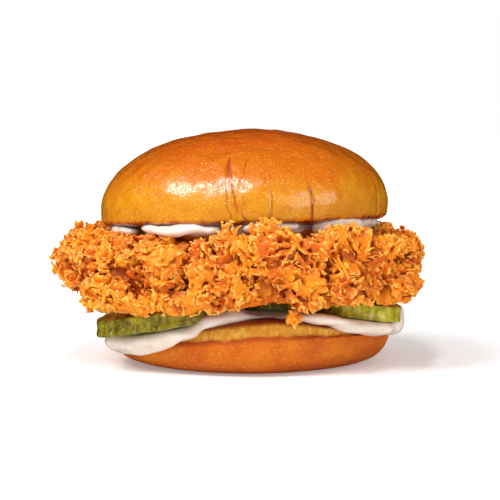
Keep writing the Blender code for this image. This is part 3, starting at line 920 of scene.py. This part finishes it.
class Surface:
    """A Principled material and the few nodes that the food needs."""

    def __init__(self, name, roughness, subsurface, radius, coat=0.0, coat_roughness=0.22, coat_ior=1.5,
                 specular=0.5):
        self.material = bpy.data.materials.new(name)
        self.material.use_nodes = True
        self.tree = self.material.node_tree
        self.shader = self.tree.nodes["Principled BSDF"]
        put(self.shader, ("Roughness", roughness), ("Specular IOR Level", specular),
            ("Subsurface Weight", subsurface), ("Subsurface Radius", radius), ("Subsurface Scale", 2.0 * MM),
            ("Coat Weight", coat), ("Coat Roughness", coat_roughness), ("Coat IOR", coat_ior))
        self.place = self.node("ShaderNodeTexCoord").outputs["Object"]

    def node(self, kind):
        return self.tree.nodes.new(kind)

    def link(self, source, target):
        """Give an input a number, a colour, or another node's output."""
        if isinstance(source, (int, float, tuple)):
            target.default_value = source
        else:
            self.tree.links.new(source, target)

    def value(self, name):
        """What add_value wrote under a name."""
        node = self.node("ShaderNodeAttribute")
        node.attribute_name = name
        return node.outputs["Fac"]

    def noise(self, size, detail=2.0, stretch=(1.0, 1.0, 1.0), rough=0.5):
        """Noise with features of the given size in mm, 0 to 1."""
        scale = self.node("ShaderNodeVectorMath")
        scale.operation = "MULTIPLY"
        self.link(self.place, scale.inputs[0])
        scale.inputs[1].default_value = stretch
        node = self.node("ShaderNodeTexNoise")
        self.link(scale.outputs[0], node.inputs["Vector"])
        put(node, ("Scale", 1.0 / (size * MM)), ("Detail", detail), ("Roughness", rough))
        return node.outputs["Fac"]

    def span(self, source, low, high, to_low=0.0, to_high=1.0):
        """A smooth change from to_low to to_high as the source goes from low to high."""
        node = self.node("ShaderNodeMapRange")
        node.interpolation_type = "SMOOTHSTEP"
        self.link(source, node.inputs["Value"])
        put(node, ("From Min", low), ("From Max", high), ("To Min", to_low), ("To Max", to_high))
        return node.outputs["Result"]

    def math(self, operation, a, b):
        node = self.node("ShaderNodeMath")
        node.operation = operation
        self.link(a, node.inputs[0])
        self.link(b, node.inputs[1])
        return node.outputs[0]

    def swayed(self, value, noise, amount):
        """A value with a noise added that is 0 on average."""
        return self.math("ADD", value, self.math("MULTIPLY", self.math("SUBTRACT", noise, 0.5), amount))

    def mix(self, share, a, b):
        node = self.node("ShaderNodeMix")
        node.data_type = "RGBA"
        self.link(share, node.inputs["Factor"])
        self.link(a, node.inputs["A"])
        self.link(b, node.inputs["B"])
        return node.outputs["Result"]

    def tinted(self, colour, *tints):
        """A colour under tints. Each covers up to the share most, as a value goes from low to high."""
        for value, low, high, most, tint in tints:
            colour = self.mix(self.span(value, low, high, 0.0, most), colour, linear(*tint))
        return colour

    def finish(self, colour, rough, height, distance, strength=0.8):
        """Join it all to the shader; rough is a noise's size in mm, and the least and most roughness."""
        size, least, most = rough
        bump = self.node("ShaderNodeBump")
        put(bump, ("Distance", distance * MM), ("Strength", strength))
        self.link(height, bump.inputs["Height"])
        self.link(colour, self.shader.inputs["Base Color"])
        self.link(self.span(self.noise(size), 0.3, 0.7, least, most), self.shader.inputs["Roughness"])
        for setting in ("Normal", "Coat Normal"):
            self.link(bump.outputs["Normal"], self.shader.inputs[setting])
        return self.material


BREAD_GLOW = (1.0, 0.4, 0.1)


def fried_surface():
    s = Surface("fried_crust_look", 0.55, 0.06, BREAD_GLOW, coat=0.4, coat_roughness=0.18, specular=0.15)
    edge, hollow, valley = s.value("edge"), s.value("hollow"), s.value("valley")
    # Paler gold on raised edges, flake rims and some grains: partly the thin crust's own paler colour, partly
    # painted light. It is held back in valleys as painted shade.
    tips = s.swayed(edge, s.noise(1.6), 1.1)
    tips = s.math("SUBTRACT", tips, s.math("MULTIPLY", valley, 0.3))
    colour = s.tinted(
        linear(218, 100, 8),
        (s.noise(11.0, 3.0), 0.38, 0.60, 1.0, (246, 146, 18)),
        # darker red-brown in the crust's valleys and hollows: painted shade
        (valley, -0.10, 0.60, 0.70, (198, 88, 8)),
        (hollow, 0.0, 0.75, 1.0, (164, 66, 8)),
        (tips, 0.22, 1.05, 1.0, (255, 188, 80)),
    )
    return s.finish(colour, (3.0, 0.42, 0.65), s.noise(0.7, 3.0, rough=0.6), 0.25)


def crown_surface():
    s = Surface("crown_crust_look", 0.45, 0.05, BREAD_GLOW, coat=1.0, coat_roughness=0.17, coat_ior=1.80,
                specular=0.08)
    level = s.value("level")
    height = s.swayed(level, s.noise(15.0), 0.6)
    hem = s.swayed(level, s.noise(3.0), 0.5)
    colour = s.tinted(
        linear(212, 138, 6),
        (height, 0.05, 0.50, 1.0, (210, 106, 6)),
        (height, 0.48, 0.95, 1.0, (206, 86, 10)),
        (s.noise(4.0, 3.0, rough=0.6), 0.48, 0.72, 0.45, (196, 84, 10)),
        (s.noise(0.80, 1.0), 0.56, 0.70, 0.50, (246, 166, 40)),
        (s.noise(0.95, 1.0), 0.58, 0.74, 0.35, (172, 76, 8)),
        (hem, -0.38, -0.62, 1.0, (176, 78, 8)),
        (hem, -0.50, -0.68, 1.0, (104, 32, 8)),
        # darker red-brown along the creases, by their depth: painted shade
        (s.value("crease"), 0.1, 0.9, 0.85, (150, 48, 8)),
    )
    colour = s.mix(s.value("crumb"), colour, linear(226, 170, 84))
    pits = s.span(s.noise(0.8), 0.52, 0.70)
    skin = s.math("SUBTRACT", s.noise(3.0, 3.0, rough=0.6), s.math("MULTIPLY", pits, 0.50))
    return s.finish(colour, (6.0, 0.30, 0.46), skin, 0.24, 0.75)


def heel_surface():
    s = Surface("heel_crust_look", 0.55, 0.05, BREAD_GLOW, specular=0.2)
    level = s.value("level")
    waver = s.swayed(level, s.noise(4.0, 3.0), 0.22)
    rim = s.math("MULTIPLY", s.span(waver, 0.26, 0.44), s.span(waver, 0.58, 0.50))
    crust = s.tinted(
        linear(198, 90, 8),
        (s.noise(13.0, 3.0), 0.35, 0.68, 1.0, (218, 116, 14)),
        (level, -0.30, -1.0, 1.0, (176, 76, 12)),
        (s.noise(1.0, rough=0.65), 0.50, 0.70, 0.50, (232, 144, 36)),
        (s.noise(1.1), 0.54, 0.70, 0.45, (166, 72, 8)),
    )
    crust = s.mix(s.math("MULTIPLY", rim, 0.75), crust, linear(166, 54, 8))
    bread = s.tinted(
        linear(204, 132, 30),
        (s.noise(1.4, 3.0, (1.0, 1.0, 0.45), 0.6), 0.35, 0.66, 1.0, (232, 176, 70)),
        (s.noise(7.0), 0.45, 0.70, 0.5, (206, 128, 26)),
        (s.value("toast"), 0.1, 0.9, 1.0, (158, 72, 18)),
    )
    colour = s.mix(s.value("crumb"), crust, bread)
    return s.finish(colour, (4.0, 0.45, 0.66), s.noise(0.7, 3.0, rough=0.65), 0.5)


def pickle_surface(name, dark, light, glow):
    """Flesh inside a skin that is streaked from dark to light, with a glow in places."""
    s = Surface(name, 0.28, 0.12, (0.6, 1.0, 0.2), coat=0.8)
    skin = s.tinted(
        linear(*dark),
        (s.noise(2.2, 3.0, (1.0, 1.0, 0.40), 0.6), 0.38, 0.64, 1.0, light),
        (s.noise(6.0), 0.48, 0.70, 0.7, glow),
        (s.noise(1.0, rough=0.7), 0.58, 0.68, 0.75, (206, 198, 36)),
        (s.noise(3.2, stretch=(1.0, 1.0, 0.15)), 0.62, 0.72, 0.55, (206, 200, 140)),
    )
    flesh = s.tinted(linear(160, 152, 60), (s.noise(2.4, 3.0), 0.35, 0.7, 1.0, (126, 120, 34)))
    grain = s.noise(1.0, stretch=(1.0, 1.0, 0.5))
    return s.finish(s.mix(s.value("skin"), flesh, skin), (2.0, 0.18, 0.38), grain, 0.2, 0.6)


def sauce_surface():
    s = Surface("mayonnaise_look", 0.22, 0.15, (1.0, 0.8, 0.6), coat=0.2)
    colour = s.tinted(linear(243, 231, 219), (s.noise(7.0), 0.35, 0.7, 1.0, (233, 218, 201)))
    return s.finish(colour, (5.0, 0.16, 0.32), s.noise(4.0, 1.0), 0.2, 0.3)


# ---- the burger
def dress(piece, look, slot, *nodes):
    """Give a piece its material and the body it belongs to, and hide the CAD nodes that it replaces; slot is
    not used.
    """
    piece.data.materials.clear()
    piece.data.materials.append(look)
    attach(piece, "root")
    if nodes:
        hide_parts(*nodes)


fried_look = fried_surface()
sauce_look = sauce_surface()
fillet, flakes, grains = make_fried_crust()
dress(fillet, fried_look, "fried_crust", "chicken_fillet")
for piece in (flakes, grains, make_crumb()):
    dress(piece, fried_look, "fried_crust")
dress(make_crown(), crown_surface(), "crown_crust", "bun_top")
dress(make_heel(), heel_surface(), "heel_crust", "bun_bottom")
dress(make_upper_sauce(), sauce_look, "mayonnaise", "mayo_top")
dress(make_lower_sauce(), sauce_look, "mayonnaise", "mayo_bottom")
# Each slice's skin colours: dark, light and glow. The three slices are one kind of pickle in lit and shaded
# copies. The middle row is darker as painted shade under the fillet, and the right row is lighter as painted
# light.
PICKLE_COLOURS = (
    ((96, 88, 10), (148, 134, 30), (178, 160, 26)),
    ((70, 74, 16), (98, 98, 30), (104, 104, 24)),
    ((146, 136, 12), (196, 186, 44), (216, 202, 30)),
)
for pickle, colours in zip(PICKLES, PICKLE_COLOURS):
    look = pickle_surface(pickle[0] + "_look", *colours)
    dress(make_pickle(*pickle), look, "pickle", pickle[0])


# ---- studio
def paint(name, colour, emission=0.0):
    """Dull paint that may glow white."""
    s = Surface(name, 0.9, 0.0, BREAD_GLOW, specular=0.1)
    white = (1.0, 1.0, 1.0, 1.0)
    put(s.shader, ("Base Color", colour), ("Emission Color", white), ("Emission Strength", emission))
    return s


def floor_material():
    """Pale paint that glows more with distance, so that the floor runs into the white backdrop."""
    s = paint("floor_paint", (0.86, 0.86, 0.86, 1.0))
    far = s.node("ShaderNodeVectorMath")
    far.operation = "LENGTH"
    s.link(s.place, far.inputs[0])
    s.link(s.span(far.outputs["Value"], 0.08, 0.42, 0.24, 1.0), s.shader.inputs["Emission Strength"])
    return s.material


def make_stage():
    """A floor just under the heel, and a white backdrop that only the camera sees."""
    under = (0.0, 0.0, HEEL_LOW[2] - 0.05 * MM)
    bpy.ops.mesh.primitive_circle_add(vertices=96, radius=3.0, fill_type="NGON", location=under)
    floor = bpy.context.object
    floor.name = "floor"
    floor.data.materials.append(floor_material())
    floor.visible_glossy = False
    bpy.ops.mesh.primitive_cylinder_add(vertices=96, radius=3.0, depth=4.0, end_fill_type="NOTHING")
    backdrop = bpy.context.object
    backdrop.name = "backdrop"
    backdrop.data.materials.append(paint("backdrop_paint", (0.0, 0.0, 0.0, 1.0), 1.0).material)
    for ray in ("visible_diffuse", "visible_glossy", "visible_transmission", "visible_shadow"):
        setattr(backdrop, ray, False)


def soft_box(name, direction, distance, size, power):
    """A white square lamp that faces the burger from a direction."""
    lamp = bpy.data.lights.new(name, "AREA")
    lamp.shape = "RECTANGLE"
    lamp.size, lamp.size_y = size
    lamp.energy = power
    obj = add_object(name, lamp)
    aim = Vector(direction).normalized()
    obj.location = Vector((0.0, 0.0, CROWN_HIGH[2] / 2.0)) + aim * distance
    obj.rotation_euler = aim.to_track_quat("Z", "Y").to_euler()


def make_studio():
    """A pale surrounding light and three lamps."""
    scene = bpy.context.scene
    scene.world = bpy.data.worlds.new("studio")
    scene.world.use_nodes = True
    put(scene.world.node_tree.nodes["Background"], ("Color", (1.0, 1.0, 1.0, 1.0)), ("Strength", 0.48))
    scene.world.cycles_visibility.glossy = False
    soft_box("key", (-0.62, -0.45, 0.80), 0.9, (0.38, 0.42), 5.6)
    soft_box("fill", (0.78, -0.55, 0.30), 1.0, (0.60, 0.50), 1.9)
    soft_box("top_strip", (-0.10, -0.52, 0.85), 0.9, (0.09, 0.30), 2.4)
    scene.view_settings.view_transform = "Standard"
    scene.view_settings.look = "None"


def make_camera():
    """The photo's view, from 5 degrees above level."""
    elevation, distance = math.radians(5.0), 0.78
    aim = Vector((3.9 * MM, 0.0, 42.6 * MM))
    lens = bpy.data.cameras.new("camera")
    lens.sensor_width = 36.0
    lens.lens = 144.0
    lens.clip_start = 0.01
    camera = add_object("camera", lens)
    camera.location = aim + distance * Vector((0.0, -math.cos(elevation), math.sin(elevation)))
    camera.rotation_euler = (math.pi / 2.0 - elevation, 0.0, 0.0)
    bpy.context.scene.camera = camera


make_stage()
make_studio()
make_camera()
